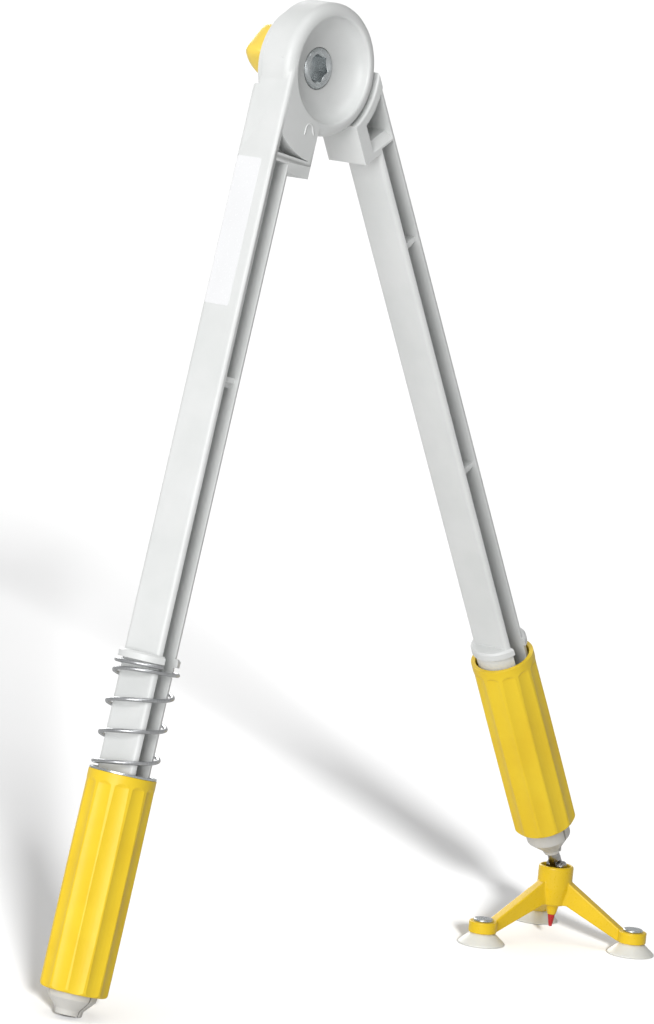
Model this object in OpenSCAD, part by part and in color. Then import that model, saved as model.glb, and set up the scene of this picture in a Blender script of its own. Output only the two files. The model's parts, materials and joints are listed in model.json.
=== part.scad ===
// Board compass: two channel legs on a clamped hub, a spring chuck for chalk or a marker,
// and a pin with a swivelling tripod on suction cups. Millimetres, +Z up, hub axis along Y,
// front towards -Y. Both legs are drawn hanging straight down from the hub axis, then leaned.
// A distance called s runs down a leg from the hub axis.

/* [Legs] */
// Distance from the hub axis to the tips of the jaws
leg_length = 468; // [440:1:520]
// Width of a leg across its channel
leg_w = 14.4; // [13:0.2:16]
// Depth of a leg from front to back
leg_d = 24; // [22:0.5:24.5]
// Thickness of the channel's walls
leg_wall = 2.6; // [2:0.1:3.2]
// Distance of a leg's centre line from the hub axis
leg_offset = 22.5; // [20:0.5:24]
// Lean of the marker leg from upright
tilt_left = 11.2; // [8:0.2:16]
// Radius of a leg's two back corners
leg_round = 3; // [1:0.5:4]
// Radius of a leg's two front corners
edge_round = 2.4; // [2:0.1:2.6]
// Distances of the cross webs down the marker leg
left_webs = [158];
// Distances of the cross webs down the foot leg
right_webs = [109, 240];
// Height of a cross web along the leg
web_h = 5; // [3:0.5:8]
// Setback of a cross web behind the front edges
web_back = 2.5; // [1:0.5:6]

/* [Hub] */
// Radius of the front hub
hub_r = 32.3; // [31:0.1:36]
// Rounding of the front hub's outer edge
hub_round = 5; // [1:0.5:6]
// Radius of the bowl's mouth
bowl_r = 25.6; // [22:0.2:27]
// Rounding of the bowl's mouth
bowl_lip = 1.5; // [0.5:0.1:2]
// Radius of the bowl's flat floor
bowl_floor_r = 12.5; // [12:0.5:16]
// Depth of the bowl
bowl_depth = 10.6; // [9.4:0.2:13]
// Depth of the bolt's seat below the bowl's floor
seat_depth = 3; // [2:0.2:3.4]
// Distance from the front face to the back of the front hub
hub_depth = 19; // [17:0.5:20]
// Thickness of the friction disc
friction_t = 0.8; // [0.5:0.1:1.5]
// Radius of the friction disc
friction_r = 20; // [14:1:26]
// Radius of the rear hub plate
plate_r = 28.5; // [24:0.5:30]
// Radius of the flat front plate that joins hub and marker leg
front_plate_r = 46; // [44:1:50]
// Outer radius of the foot leg's arc rim
rim_r = 39; // [36.5:0.5:42]
// Gap round the front hub
hub_gap = 1; // [0.5:0.1:2]
// Distance of the stop lugs' ends from the hub axis
lug_end = 54; // [50:1:60]
// Distance of the marker leg's lug face from the hub axis
lug_left = 1.5; // [0.5:0.5:4]
// Distance of the foot leg's lug face from the hub axis
lug_right = 4.5; // [3:0.5:8]
// Width of the foot leg's lug
lug_w = 7; // [5:0.5:9]
// Thickness of the marker leg's ledge above its channel
ledge_t = 4; // [3:0.5:6]
// Depth of the pocket between the front plate and the ledge
pocket_depth = 9; // [5:0.5:14]

/* [Clamp] */
// Radius of the pivot bolt's barrel
barrel_r = 8; // [6:0.25:8.5]
// Radius of the bolt's head
head_r = 10; // [9.5:0.25:11]
// Thickness of the bolt's head
head_t = 3; // [2:0.25:5]
// Width of the bolt's socket across flats
socket_af = 12; // [6:0.5:12.5]
// Depth of the bolt's socket
socket_depth = 6; // [3:0.5:7]
// Radius of the washer under the head
washer_r = 9.8; // [9.2:0.1:10]
// Thickness of the washers
washer_t = 1.2; // [0.8:0.1:2]
// Radius of the bolt's threaded end
thread_r = 4; // [3:0.5:5]
// Length of the bolt's threaded end
thread_len = 12; // [10:1:14]
// Radius of the knob's stem
stem_r = 11.5; // [10.5:0.25:13]
// Half length of the knob's wings
wing_len = 17; // [15:0.5:24]
// Thickness of the knob's wings
wing_t = 18; // [10:0.5:20]
// Distance from the knob's seat to the start of its wings
wing_start = 7; // [5:0.5:9]
// Depth of the knob
knob_depth = 19; // [18:0.5:26]
// Radius of a wing's rounded back
wing_round = 16; // [14:0.5:17]
// Turn of the knob at rest
knob_turn = 45; // [0:1:90]
// Width of the knob's nut across flats
nut_af = 13; // [12:0.5:15]
// Height of the knob's nut
nut_h = 6.5; // [4:0.5:8]

/* [Chuck] */
// Length of a sleeve
sleeve_len = 106; // [98:1:112]
// Wall of a sleeve at its top rim
sleeve_wall = 2.2; // [1.8:0.1:3]
// Swell of a sleeve at its middle
sleeve_swell = 0.3; // [0:0.1:2]
// Room between a leg's corners and a sleeve's bore
bore_room = 1.25; // [0.8:0.05:2]
// Count of grip flutes round a sleeve
flute_n = 12; // [8:1:16]
// Depth of a grip flute
flute_depth = 1; // [0.3:0.1:1.2]
// Radius of a flute's hollow
flute_r = 14; // [8:0.5:20]
// Plain band above the flutes
band_h = 3; // [2:0.5:12]
// Length of the sleeve's tapered mouth
mouth_len = 12; // [10:1:14]
// Step of the round guide beyond a leg's corners
guide_step = 0.1; // [0.05:0.05:0.4]
// Length of the sleeve's inner guide ring
land_len = 12; // [8:1:16]
// Distance of the jaws' seats above the sleeve's mouth
seat_up = 45; // [42:1:48]
// Travel of the marker sleeve
travel = 20; // [12:1:22]
// Length of the marker jaws below their sleeve
jaw_out = 11; // [9:0.5:14]
// Length of the foot jaws below their sleeve
foot_jaw_out = 19; // [16:0.5:22]
// Distance of the foot sleeve below the marker sleeve's place
foot_drop = 3.5; // [0:0.5:4]
// Radius of the chuck's bore
grip_r = 5; // [4:0.1:5.5]
// Outer radius of a jaw's shank
jaw_r = 8.5; // [8:0.1:9]
// Outer radius of a jaw's head
jaw_head_r = 12; // [11.5:0.1:12.3]
// Radius at a marker jaw's tip
jaw_tip_r = 6.6; // [6.2:0.1:8]
// Radius at a foot jaw's tip
foot_tip_r = 4.8; // [4.4:0.1:6]
// Length of a foot jaw's straight head below its sleeve
foot_head = 9; // [6:0.5:11]
// Width of the slits between the jaws
slit = 1.3; // [0.8:0.1:2]
// Radius of a jaw's round root
root_r = 2.3; // [2:0.1:2.5]
// Distance of a jaw's root from the chuck's axis
root_out = 6.9; // [6.8:0.1:7.4]
// Half length of a jaw's root
root_half = 5.6; // [4:0.1:6]

/* [Spring] */
// Radius of the spring's wire
wire_r = 1; // [0.8:0.1:1.2]
// Room between a leg's corners and the spring's wire
spring_gap = 1.1; // [1:0.1:1.5]
// Closed turns at the spring's upper end
end_turns = 1; // [0.75:0.25:1.5]
// Closed turns at the spring's lower end
low_turns = 0.25; // [0.25:0.25:1.5]
// Open turns of the spring
open_turns = 2.8; // [2:0.1:5]
// Rise of a closed turn
closed_pitch = 2.6; // [2.5:0.1:3.5]
// Angle of the wire's upper end
spring_start = 250; // [0:1:359]
// Step of a collar beyond a leg's corners
collar_step = 1.9; // [1.4:0.1:3]
// Height of a collar
collar_h = 4; // [3:0.5:8]
// Distance from the collar to the marker sleeve
spring_room = 55; // [48:1:60]
// Distance from the collar to the foot sleeve
neck_room = 6; // [4:0.5:20]

/* [Foot] */
// Height of the knuckle above the surface
knuckle_z = 40; // [38:0.5:44]
// Distance of the knuckle below the jaws
knuckle_out = 9.9; // [9:0.1:14]
// Half thickness of the pin's tongue
tongue_half = 2.2; // [1.8:0.1:2.4]
// Half width of the pin's tongue
tongue_r = 3.2; // [2.8:0.1:3.6]
// Thickness of the fork's ears
ear_t = 2.2; // [1.5:0.1:2.6]
// Radius of the pin below the jaws
pin_r = 3.3; // [3:0.1:3.8]
// Radius of the knuckle's rivet
rivet_r = 1.5; // [1:0.1:2]
// Radius of the fork's spindle
spindle_r = 3.5; // [3:0.1:4]
// Radius of the tripod's socket
socket_r = 9.3; // [9:0.1:11]
// Radius of the socket's bore
socket_bore_r = 7.7; // [7.5:0.1:8]
// Height of the socket's top
socket_z = 40.4; // [39:0.2:42]
// Height of the socket's floor
floor_z = 29; // [27:0.5:31]
// Height of the tripod's lower end
hub_low_z = 19; // [17:0.5:20]
// Radius of the tripod's lower body
hub_low_r = 7.2; // [6.5:0.1:8]
// Distance of the suction cups from the tripod's axis
arm_r = 46.4; // [40:0.2:54]
// Turn of the tripod at rest
arm_turn = 47.6; // [0:0.2:119]
// Thickness of an arm
arm_t = 6; // [4:0.5:8]
// Radius of a foot ring
ring_r = 7.5; // [6.5:0.1:9]
// Height of a foot ring
ring_h = 6; // [4:0.5:8]
// Radius of a suction cup
cup_r = 12.5; // [10:0.5:15]
// Height of a suction cup
cup_h = 6.2; // [4.5:0.1:8]
// Radius of a cup's stem
cup_stem_r = 2.4; // [2:0.1:3]
// Radius of a cup rivet's head
button_r = 5.4; // [4:0.1:6.5]
// Thickness of a cup rivet's head
button_t = 1.4; // [0.8:0.1:2]
// Height of the pointer's end
tip_low_z = 7; // [3:0.5:9]
// Height of the pointer's shoulder
tip_high_z = 13.6; // [12:0.2:15]

/* [Hidden] */
$fn = 96;

// Clearances: running fit, loose fit, room round a moving form, and overlap of cutters
run = 0.05;
loose = 0.15;
room = 0.3;
cut = 0.5;

white = [0.91, 0.92, 0.91];
yellow = [0.95, 0.78, 0.16];
zinc = [0.72, 0.73, 0.74];

// Levels along the hub axis
front_y = -leg_d / 2;
back_y = leg_d / 2;
hub_back_y = front_y + hub_depth;
plate_y = hub_back_y + friction_t;
bowl_y = front_y + bowl_depth;
seat_y = bowl_y + seat_depth;
head_y = seat_y - washer_t;
knob_y = back_y + washer_t;
barrel_end = back_y - room;
channel_w = leg_w - 2 * leg_wall;
channel_back = back_y - leg_wall;
clear_r = hub_r + hub_gap;

// Reach of a leg's corners from its centre line, and the round fits over them
leg_reach = max([for (r = [edge_round, leg_round]) norm([leg_w / 2 - r, leg_d / 2 - r]) + r]);
guide_r = leg_reach + guide_step;
bore_r = leg_reach + bore_room;
sleeve_r = bore_r + sleeve_wall;
collar_r = leg_reach + collar_step;
spring_r = leg_reach + spring_gap + wire_r;

// Distances down a leg
s_tip = leg_length;
s_mouth = s_tip - jaw_out;
s_sleeve = s_mouth - sleeve_len;
s_seat = s_mouth - seat_up;
s_root = s_seat - root_r - 2.7;
s_land = s_seat - 4;
s_guide = s_land - land_len - travel - 4;
s_left_collar = s_sleeve - spring_room;
s_right_collar = s_sleeve + foot_drop - neck_room;
s_foot_tip = s_mouth + foot_drop + foot_jaw_out;
s_knuckle = s_foot_tip + knuckle_out;
s_ledge = lug_end - 2 * ledge_t;
s_hub_end = s_ledge + ledge_t / 2;

// The jaws' cone and the sleeve's mouth are parallel
cone_top = s_mouth - mouth_len - 5;
cone_end = s_mouth - 4;
cone_slope = (jaw_head_r - jaw_r) / (cone_end - cone_top);
mouth_r = jaw_r + cone_slope * (s_mouth - mouth_len - cone_top) + room;
mouth_end_r = mouth_r + (cone_slope + 0.002) * mouth_len;

// The compass stands on the marker jaws' lowest corner and on the tripod
pivot_z = (jaw_tip_r - leg_offset) * sin(tilt_left) + s_tip * cos(tilt_left);
tilt_right = acos((pivot_z - knuckle_z) / norm([s_knuckle, leg_offset]))
    - atan2(leg_offset, s_knuckle);
opening = tilt_left + tilt_right;
foot_x = s_knuckle * sin(tilt_right) + leg_offset * cos(tilt_right);
arm_angles = [for (k = [0 : 2]) arm_turn + 120 * k];
sleeve_wide = sleeve_r + 0.2;
x_low = -(s_mouth - 2) * sin(tilt_left) - (leg_offset + sleeve_wide) * cos(tilt_left);
x_high = foot_x + cup_r + max([for (a = arm_angles) arm_r * cos(a)]);
y_low = min([for (a = arm_angles) arm_r * sin(a)]) - cup_r;
y_high = max(max([for (a = arm_angles) arm_r * sin(a)]) + cup_r, knob_y + knob_depth);
x_mid = (x_low + x_high) / 2;
y_mid = (y_low + y_high) / 2;

// Spring: rise along the axis after t turns, closed at both ends with a short run between
ramp = 0.3;
total_turns = end_turns + low_turns + 2 * ramp + open_turns;
s_wire = s_left_collar + room + wire_r;
s_wire_end = s_sleeve - washer_t - room - wire_r;
open_pitch = (s_wire_end - s_wire - closed_pitch * (end_turns + low_turns + ramp))
    / (open_turns + ramp);
function ramp_part(u) = u <= 0 ? 0 : u >= ramp ? u - ramp / 2 : u * u / (2 * ramp);
function rise(t) = closed_pitch * t + (open_pitch - closed_pitch)
    * (ramp_part(t - end_turns) - ramp_part(t - (total_turns - low_turns - ramp)));
function wire_at(t) = [spring_r * cos(spring_start - 360 * t),
    spring_r * sin(spring_start - 360 * t), -s_wire - rise(t)];
wire_rings = 8 * ceil(total_turns);
wire_step = total_turns / wire_rings;
function wire_dir(t) = let(d = wire_at(t + 0.001) - wire_at(t - 0.001)) d / norm(d);
wire_path = concat([wire_at(0) - wire_dir(0) * 2 * wire_r],
    [for (i = [0 : wire_rings]) wire_at(i * wire_step)],
    [wire_at(total_turns) + wire_dir(total_turns) * 2 * wire_r]);
// Least gap between neighbouring turns, measured on points along the wire
gap_step = 1 / 24;
gap_count = floor(total_turns / gap_step);
near = [for (i = [0 : gap_count]) for (j = [i + 12 : 1 : gap_count])
    norm(wire_at(i * gap_step) - wire_at(j * gap_step)) - 2 * wire_r];
echo(spring_least_gap = min(near));

// Places of the joints and mounts, in the finished frame
function lean_left(x, s) = [x * cos(tilt_left) - s * sin(tilt_left) - x_mid,
    -y_mid, pivot_z - x * sin(tilt_left) - s * cos(tilt_left)];
function lean_right(x, s) = [x * cos(tilt_right) + s * sin(tilt_right) - x_mid,
    -y_mid, pivot_z + x * sin(tilt_right) - s * cos(tilt_right)];
echo(pivot = [-x_mid, -y_mid, pivot_z], opening = opening, tilt_right = tilt_right);
echo(chuck = lean_left(-leg_offset, (s_seat + s_tip) / 2), chuck_length = s_tip - s_seat - 1);
echo(spring_top = lean_left(-leg_offset, s_left_collar));
echo(knuckle = [foot_x - x_mid, -y_mid, knuckle_z]);
echo(box = [x_high - x_low, y_high - y_low], mid = [x_mid, y_mid]);
for (k = [0 : 2]) echo(root = k + 1,
    at = lean_left(-leg_offset + root_out * cos(90 + 120 * k), s_root)
        + [0, root_out * sin(90 + 120 * k), 0],
    axis = [-sin(90 + 120 * k) * cos(tilt_left), cos(90 + 120 * k),
        sin(90 + 120 * k) * sin(tilt_left)]);
for (a = arm_angles) echo(cup = [foot_x - x_mid + arm_r * cos(a), arm_r * sin(a) - y_mid, 0]);

// Frames
module stand() { translate([-x_mid, -y_mid, 0]) children(); }
module left_lean() { stand() translate([0, 0, pivot_z]) rotate([0, tilt_left, 0]) children(); }
module right_lean() { stand() translate([0, 0, pivot_z]) rotate([0, -tilt_right, 0]) children(); }
module left_axis() { left_lean() translate([-leg_offset, 0, 0]) children(); }
module right_axis() { right_lean() translate([leg_offset, 0, 0]) children(); }
module foot() { stand() translate([foot_x, 0, 0]) rotate([0, 0, arm_turn]) children(); }

// Revolves: round the hub axis with points (radius, y), and down a leg with points (radius, s)
module hub_turn(pts) { rotate([-90, 0, 0]) rotate_extrude() polygon(pts); }
module leg_turn(pts) { rotate_extrude() polygon([for (p = pts) [p[0], -p[1]]]); }
module leg_tube(r, s1, s2) { translate([0, 0, -s2]) cylinder(r = r, h = s2 - s1); }
module leg_box(x1, x2, y1, y2, s1, s2) {
    translate([x1, y1, -s2]) cube([x2 - x1, y2 - y1, s2 - s1]);
}
function arc(cx, cy, r, a1, a2, n) =
    [for (i = [0 : n]) [cx + r * cos(a1 + (a2 - a1) * i / n), cy + r * sin(a1 + (a2 - a1) * i / n)]];

// Outline of a leg, front corners at -y
function leg_outline() = let(w = leg_w / 2, f = edge_round, b = leg_round) concat(
    arc(w - b, back_y - b, b, 0, 90, 5), arc(-w + b, back_y - b, b, 90, 180, 5),
    arc(-w + f, front_y + f, f, 180, 270, 4), arc(w - f, front_y + f, f, 270, 360, 4));
module leg_bar(s1, s2) {
    translate([0, 0, -s2]) linear_extrude(height = s2 - s1) polygon(leg_outline());
}
module channel(s1, s2) {
    leg_box(-channel_w / 2, channel_w / 2, front_y - 8, channel_back, s1, s2);
}
module webs(places) {
    for (s = places) difference() {
        leg_box(-channel_w / 2 - cut, channel_w / 2 + cut, front_y + web_back, channel_back + cut,
            s - web_h / 2, s + web_h / 2);
        translate([0, front_y + web_back, -s - web_h / 2]) rotate([0, 90, 0])
            cylinder(r = web_h / 2, h = channel_w, center = true);
    }
}

// Three grooves in the end of a leg hold the jaws' round roots
module jaw_seats() {
    for (k = [0 : 2]) rotate([0, 0, 90 + 120 * k]) {
        translate([root_out, 0, -s_root]) rotate([90, 0, 0])
            cylinder(r = root_r + run, h = 2 * (root_half + room), center = true);
        leg_box(root_out - 1.9, root_out + 1.9, -root_half - room, root_half + room,
            s_root, s_seat + cut);
    }
}

// Collar, round guide and jaw seats at the lower end of a leg
module leg_end(s_collar, r_collar, s_round) {
    difference() {
        union() {
            leg_turn([[0, s_collar - collar_h], [r_collar - 1, s_collar - collar_h],
                [r_collar, s_collar - collar_h + 1], [r_collar, s_collar], [0, s_collar]]);
            leg_tube(guide_r, s_round, s_seat);
        }
        channel(s_collar - collar_h - cut, s_land);
        jaw_seats();
    }
}

// Marker leg: front hub with its bowl, front plate, stop lug, pocket, channel, collar and guide
module left_moulding() {
    x_in = -leg_offset + leg_w / 2;
    difference() {
        union() {
            hub_turn(concat([[0, front_y], [hub_r - hub_round, front_y]],
                arc(hub_r - hub_round, front_y + hub_round, hub_round, 270, 360, 6),
                [[hub_r, hub_back_y - 1], [hub_r - 1, hub_back_y], [0, hub_back_y]]));
            translate([-leg_offset, 0, 0]) {
                difference() {
                    leg_bar(0, s_guide);
                    channel(s_ledge + ledge_t, s_guide + cut);
                }
                webs(left_webs);
                leg_end(s_left_collar, collar_r, s_guide);
            }
            leg_box(x_in - leg_wall, -lug_left, front_y, back_y, 0, lug_end);
        }
        difference() {
            leg_box(-leg_offset - channel_w / 2, -lug_left - 2.5, front_y - 8, front_y + pocket_depth,
                0, s_ledge);
            translate([0, front_y - 10, 0]) rotate([-90, 0, 0]) cylinder(r = front_plate_r, h = 2 * leg_d);
        }
        hub_turn(concat([[0, front_y - cut], [bowl_r + bowl_lip, front_y - cut]],
            arc(bowl_r + bowl_lip, front_y + bowl_lip, bowl_lip, 270, 180, 4),
            [for (a = [7.5 : 7.5 : 90]) [bowl_floor_r + (bowl_r - bowl_floor_r) * cos(a),
                front_y + bowl_lip + (bowl_depth - bowl_lip) * sin(a)]],
            [[head_r + room, bowl_y], [head_r + room, seat_y], [0, seat_y]]));
        rotate([-90, 0, 0]) cylinder(r = barrel_r + run, h = leg_d);
        translate([0, hub_back_y, 0]) rotate([-90, 0, 0]) cylinder(r = clear_r, h = leg_d);
    }
}

// The hub and the leg of that moulding meet in the middle of the ledge
module left_hub() {
    color(white) left_lean() intersection() {
        left_moulding();
        leg_box(-2 * hub_r, 2 * hub_r, -2 * leg_d, 2 * leg_d, -2 * hub_r, s_hub_end);
    }
}
module left_leg() {
    color(white) left_lean() difference() {
        left_moulding();
        leg_box(-2 * hub_r, 2 * hub_r, -2 * leg_d, 2 * leg_d, -2 * hub_r, s_hub_end);
    }
}

// Foot leg: rear hub plate, arc rim round the front hub, stop lug, channel, collar and guide
module right_leg() {
    x_out = leg_offset + leg_w / 2;
    x_in = leg_offset - leg_w / 2;
    wall_s = lug_end - 7;
    color(white) right_lean() difference() {
        union() {
            translate([0, plate_y, 0]) rotate([-90, 0, 0]) cylinder(r = plate_r, h = back_y - plate_y);
            intersection() {
                leg_box(lug_right, x_out, plate_y, back_y, 6, lug_end);
                rotate([-90, 0, 0]) cylinder(r = front_plate_r, h = leg_d);
            }
            difference() {
                union() {
                    translate([leg_offset, 0, 0]) difference() {
                        leg_bar(0, s_guide);
                        channel(lug_end - 2, s_guide + cut);
                    }
                    leg_box(lug_right, x_in + leg_wall, front_y, back_y, 0, lug_end);
                }
                translate([lug_right + lug_w, 0, 0]) rotate([90, 0, 90])
                    linear_extrude(height = x_out - leg_wall - lug_right - lug_w)
                    polygon([[front_y - cut, 0], [plate_y - 2, 0], [plate_y - 2, -wall_s],
                        [front_y + 4, -wall_s], [front_y - cut, -wall_s - 4 - cut]]);
                translate([0, front_y - cut, 0]) rotate([-90, 0, 0])
                    cylinder(r = clear_r + 1, h = plate_y - front_y + cut);
                translate([0, plate_y - cut, 0]) rotate([-90, 0, 0]) cylinder(r = plate_r - 1, h = leg_d);
            }
            intersection() {
                leg_box(lug_right, x_out - 0.6, front_y, plate_y + 1, 0, lug_end);
                hub_turn(concat(arc(clear_r + 1, front_y + 1, 1, 180, 270, 4),
                    arc(rim_r - 2, front_y + 2, 2, 270, 360, 5),
                    [[rim_r, plate_y + 1], [clear_r, plate_y + 1]]));
            }
            translate([leg_offset, 0, 0]) {
                webs(right_webs);
                leg_end(s_right_collar, collar_r - 0.3, s_right_collar);
            }
        }
        rotate([-90, 0, 0]) cylinder(r = barrel_r + run, h = leg_d);
    }
}

// Disc that gives the hub its grip
module friction_disc() {
    color([0.35, 0.33, 0.3]) left_lean() hub_turn([[barrel_r + loose, hub_back_y],
        [friction_r, hub_back_y], [friction_r, plate_y], [barrel_r + loose, plate_y]]);
}

// Bolt with a round socket head, a bearing barrel and a threaded end
module pivot_bolt() {
    end_y = knob_y + thread_len;
    color(zinc) left_lean() difference() {
        hub_turn([[0, head_y - head_t], [head_r - 1.2, head_y - head_t],
            [head_r, head_y - head_t + 1.2], [head_r, head_y], [barrel_r, head_y],
            [barrel_r, barrel_end], [thread_r, barrel_end], [thread_r, end_y - 0.8],
            [thread_r - 0.8, end_y], [0, end_y]]);
        translate([0, head_y - head_t - cut, 0]) rotate([-90, 0, 0])
            cylinder(r = socket_af / 2 / cos(30), h = socket_depth + cut, $fn = 6);
        hub_turn([[0, head_y - head_t - cut], [socket_af / 2 / cos(30) + 0.8 + cut, head_y - head_t - cut],
            [socket_af / 2, head_y - head_t + 1.4], [0, head_y - head_t + 1.4]]);
    }
}

module bolt_washer() {
    color(zinc) left_lean() hub_turn([[barrel_r + loose, head_y], [washer_r, head_y],
        [washer_r, seat_y], [barrel_r + loose, seat_y]]);
}

module rear_washer() {
    color(zinc) left_lean() hub_turn([[thread_r + loose, back_y], [stem_r, back_y],
        [stem_r, knob_y], [thread_r + loose, knob_y]]);
}

// Wing knob: round stem with two thick wings whose backs are rounded
module clamp_knob() {
    color([0.97, 0.86, 0.42]) stand() translate([0, knob_y, pivot_z]) rotate([0, -knob_turn, 0])
        difference() {
            union() {
                hub_turn([[0, 0], [stem_r - 1, 0], [stem_r, 1], [stem_r - 1, wing_start + 2],
                    [stem_r - 4, knob_depth - 7], [0, knob_depth - 6]]);
                rotate([0, 90, 0]) translate([0, 0, -wing_t / 2])
                    linear_extrude(height = wing_t) intersection() {
                        translate([-wing_len, wing_start])
                            square([2 * wing_len, knob_depth - wing_start]);
                        union() for (m = [-1, 1])
                            translate([m * wing_len / 2, knob_depth - wing_round]) circle(r = wing_round);
                    }
            }
            translate([0, -cut, 0]) rotate([-90, 0, 0])
                cylinder(r = (nut_af / 2 + run) / cos(30), h = nut_h + loose + cut, $fn = 6);
            rotate([-90, 0, 0]) cylinder(r = thread_r + room, h = thread_len + 1);
        }
}

module knob_nut() {
    color(zinc) stand() translate([0, knob_y, pivot_z]) rotate([0, -knob_turn, 0]) difference() {
        rotate([-90, 0, 0]) cylinder(r = nut_af / 2 / cos(30), h = nut_h, $fn = 6);
        translate([0, -cut, 0]) rotate([-90, 0, 0]) cylinder(r = thread_r + run, h = nut_h + 2 * cut);
    }
}

// Spring: one tube swept along its path, six sides
module marker_spring() {
    n = len(wire_path);
    pts = [for (i = [0 : n - 1])
        let(d = i == 0 ? wire_path[1] - wire_path[0] : i == n - 1 ? wire_path[i] - wire_path[i - 1]
                : wire_path[i + 1] - wire_path[i - 1],
            t = d / norm(d), p = wire_path[i], o = [p[0], p[1], 0] / norm([p[0], p[1]]),
            u = (o - t * (o * t)) / norm(o - t * (o * t)), v = cross(t, u))
        for (k = [0 : 5]) p + wire_r * (u * cos(60 * k + 30) + v * sin(60 * k + 30))];
    last = 6 * (n - 1);
    faces = concat(
        [for (k = [1 : 4]) [0, k, k + 1]],
        [for (k = [1 : 4]) [last, last + k + 1, last + k]],
        [for (i = [0 : n - 2]) for (k = [0 : 5]) [6 * i + k, 6 * i + 6 + k, 6 * i + (k + 1) % 6]],
        [for (i = [0 : n - 2]) for (k = [0 : 5])
            [6 * i + 6 + k, 6 * i + 6 + (k + 1) % 6, 6 * i + (k + 1) % 6]]);
    color(zinc) left_axis() polyhedron(points = pts, faces = faces);
}

module spring_washer() {
    inner = spring_r - 0.8;
    color(zinc) left_axis() leg_turn([[inner, s_sleeve - washer_t], [sleeve_r - 0.2, s_sleeve - washer_t],
        [sleeve_r - 0.2, s_sleeve], [inner, s_sleeve]]);
}

// Sleeve: swelling barrel with arched flutes, a guide ring inside and a tapered mouth
module sleeve() {
    low = s_mouth - 2;
    flute_end = 2.5;
    outer = [for (i = [0 : 10]) let(u = i / 10)
        [sleeve_r + 0.2 * u + sleeve_swell * 4 * u * (1 - u), s_sleeve + (low - s_sleeve) * u]];
    difference() {
        leg_turn(concat(outer, arc(sleeve_r - 1.8, low, 2, 18, 90, 4),
            [[mouth_end_r, s_mouth], [mouth_r, s_mouth - mouth_len],
                [mouth_r, s_mouth - mouth_len - 1.5], [bore_r, s_mouth - mouth_len - 9],
                [bore_r, s_land + 3], [guide_r + loose, s_land + 1.5],
                [guide_r + loose, s_land - land_len], [bore_r, s_land - land_len - 1.5],
                [bore_r, s_sleeve]]));
        for (k = [0 : flute_n - 1]) rotate([0, 0, 360 * (k + 0.5) / flute_n])
            translate([sleeve_r + sleeve_swell + flute_r - flute_depth, 0, 0]) {
                leg_tube(flute_r, s_sleeve + band_h + flute_end, s_mouth + cut);
                translate([0, 0, -s_sleeve - band_h - flute_end])
                    cylinder(r1 = flute_r, r2 = flute_r - flute_depth - 0.2, h = flute_end);
            }
    }
}
module marker_sleeve() { color(yellow) left_axis() sleeve(); }
module foot_sleeve() { color(yellow) right_axis() translate([0, 0, -foot_drop]) sleeve(); }

// Jaw: third of a turned chuck with a round root that hinges in the leg's end. Its profile lies
// between the chuck's bore and the outside, which ends in the points of nose.
module jaw(k, drop, bore, nose) {
    neck = 1.2;
    tip = nose[len(nose) - 1][1];
    rotate([0, 0, 90 + 120 * k]) difference() {
        union() {
            intersection() {
                leg_turn(concat([[grip_r, s_seat + 1], [jaw_r, s_seat + 1], [jaw_r, cone_top + drop],
                    [jaw_head_r, cone_end + drop], [jaw_head_r, s_mouth + drop + 1]], nose, bore));
                translate([0, 0, -tip - 1]) linear_extrude(height = tip - s_seat + 2)
                    polygon([[0, 0], [jaw_head_r * 1.2, -jaw_head_r * 1.2 * tan(60)],
                        [jaw_head_r * 1.2, jaw_head_r * 1.2 * tan(60)]]);
            }
            translate([root_out, 0, -s_root]) rotate([90, 0, 0])
                cylinder(r = root_r, h = 2 * root_half, center = true);
            leg_box(root_out - neck, root_out + neck, -root_half, root_half, s_root, s_seat + 4);
        }
        for (m = [-1, 1]) rotate([0, 0, 60 * m])
            leg_box(-1, jaw_head_r * 3, -slit / 2, slit / 2, s_seat - 1, tip + 1);
        leg_tube(grip_r, s_seat - 1, s_seat + 6);
    }
}
module marker_jaw(k) {
    color(white) left_axis() jaw(k, 0, [[grip_r + 0.8, s_tip], [grip_r, s_tip - 1.2]],
        [[jaw_head_r - 0.3, s_mouth + 3], [jaw_tip_r + 0.3, s_tip - 2.6], [jaw_tip_r, s_tip]]);
}
module foot_jaw(k) {
    color(white) right_axis() jaw(k, foot_drop, [[pin_r, s_foot_tip], [pin_r, s_foot_tip - 6],
        [grip_r, s_foot_tip - 6 - (grip_r - pin_r)]],
        [[jaw_head_r - 0.3, s_mouth + foot_drop + foot_head], [foot_tip_r + 0.5, s_foot_tip - 2.4],
            [foot_tip_r, s_foot_tip]]);
}
module marker_jaw_1() { marker_jaw(0); }
module marker_jaw_2() { marker_jaw(1); }
module marker_jaw_3() { marker_jaw(2); }
module foot_jaw_1() { foot_jaw(0); }
module foot_jaw_2() { foot_jaw(1); }
module foot_jaw_3() { foot_jaw(2); }

// Pin held by the jaws' step, with a flat tongue that turns on the knuckle's rivet
module foot_pin() {
    step = s_foot_tip - 6 - (grip_r - pin_r);
    low = s_knuckle - tongue_r - 0.6;
    color(zinc) right_axis() difference() {
        union() {
            leg_turn([[0, s_seat + 4], [grip_r - 1 - run, s_seat + 4], [grip_r - run, s_seat + 5],
                [grip_r - run, step], [pin_r - run, step + grip_r - pin_r], [pin_r - run, low - 0.5],
                [pin_r - 0.5 - run, low], [0, low]]);
            leg_box(-tongue_r + 0.6, tongue_r - 0.6, -tongue_half, tongue_half, low - 2, s_knuckle);
            translate([0, 0, -s_knuckle]) rotate([90, 0, 0])
                cylinder(r = tongue_r, h = 2 * tongue_half, center = true);
        }
        translate([0, 0, -s_knuckle]) rotate([90, 0, 0])
            cylinder(r = rivet_r + run, h = 4 * tongue_half, center = true);
    }
}

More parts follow.
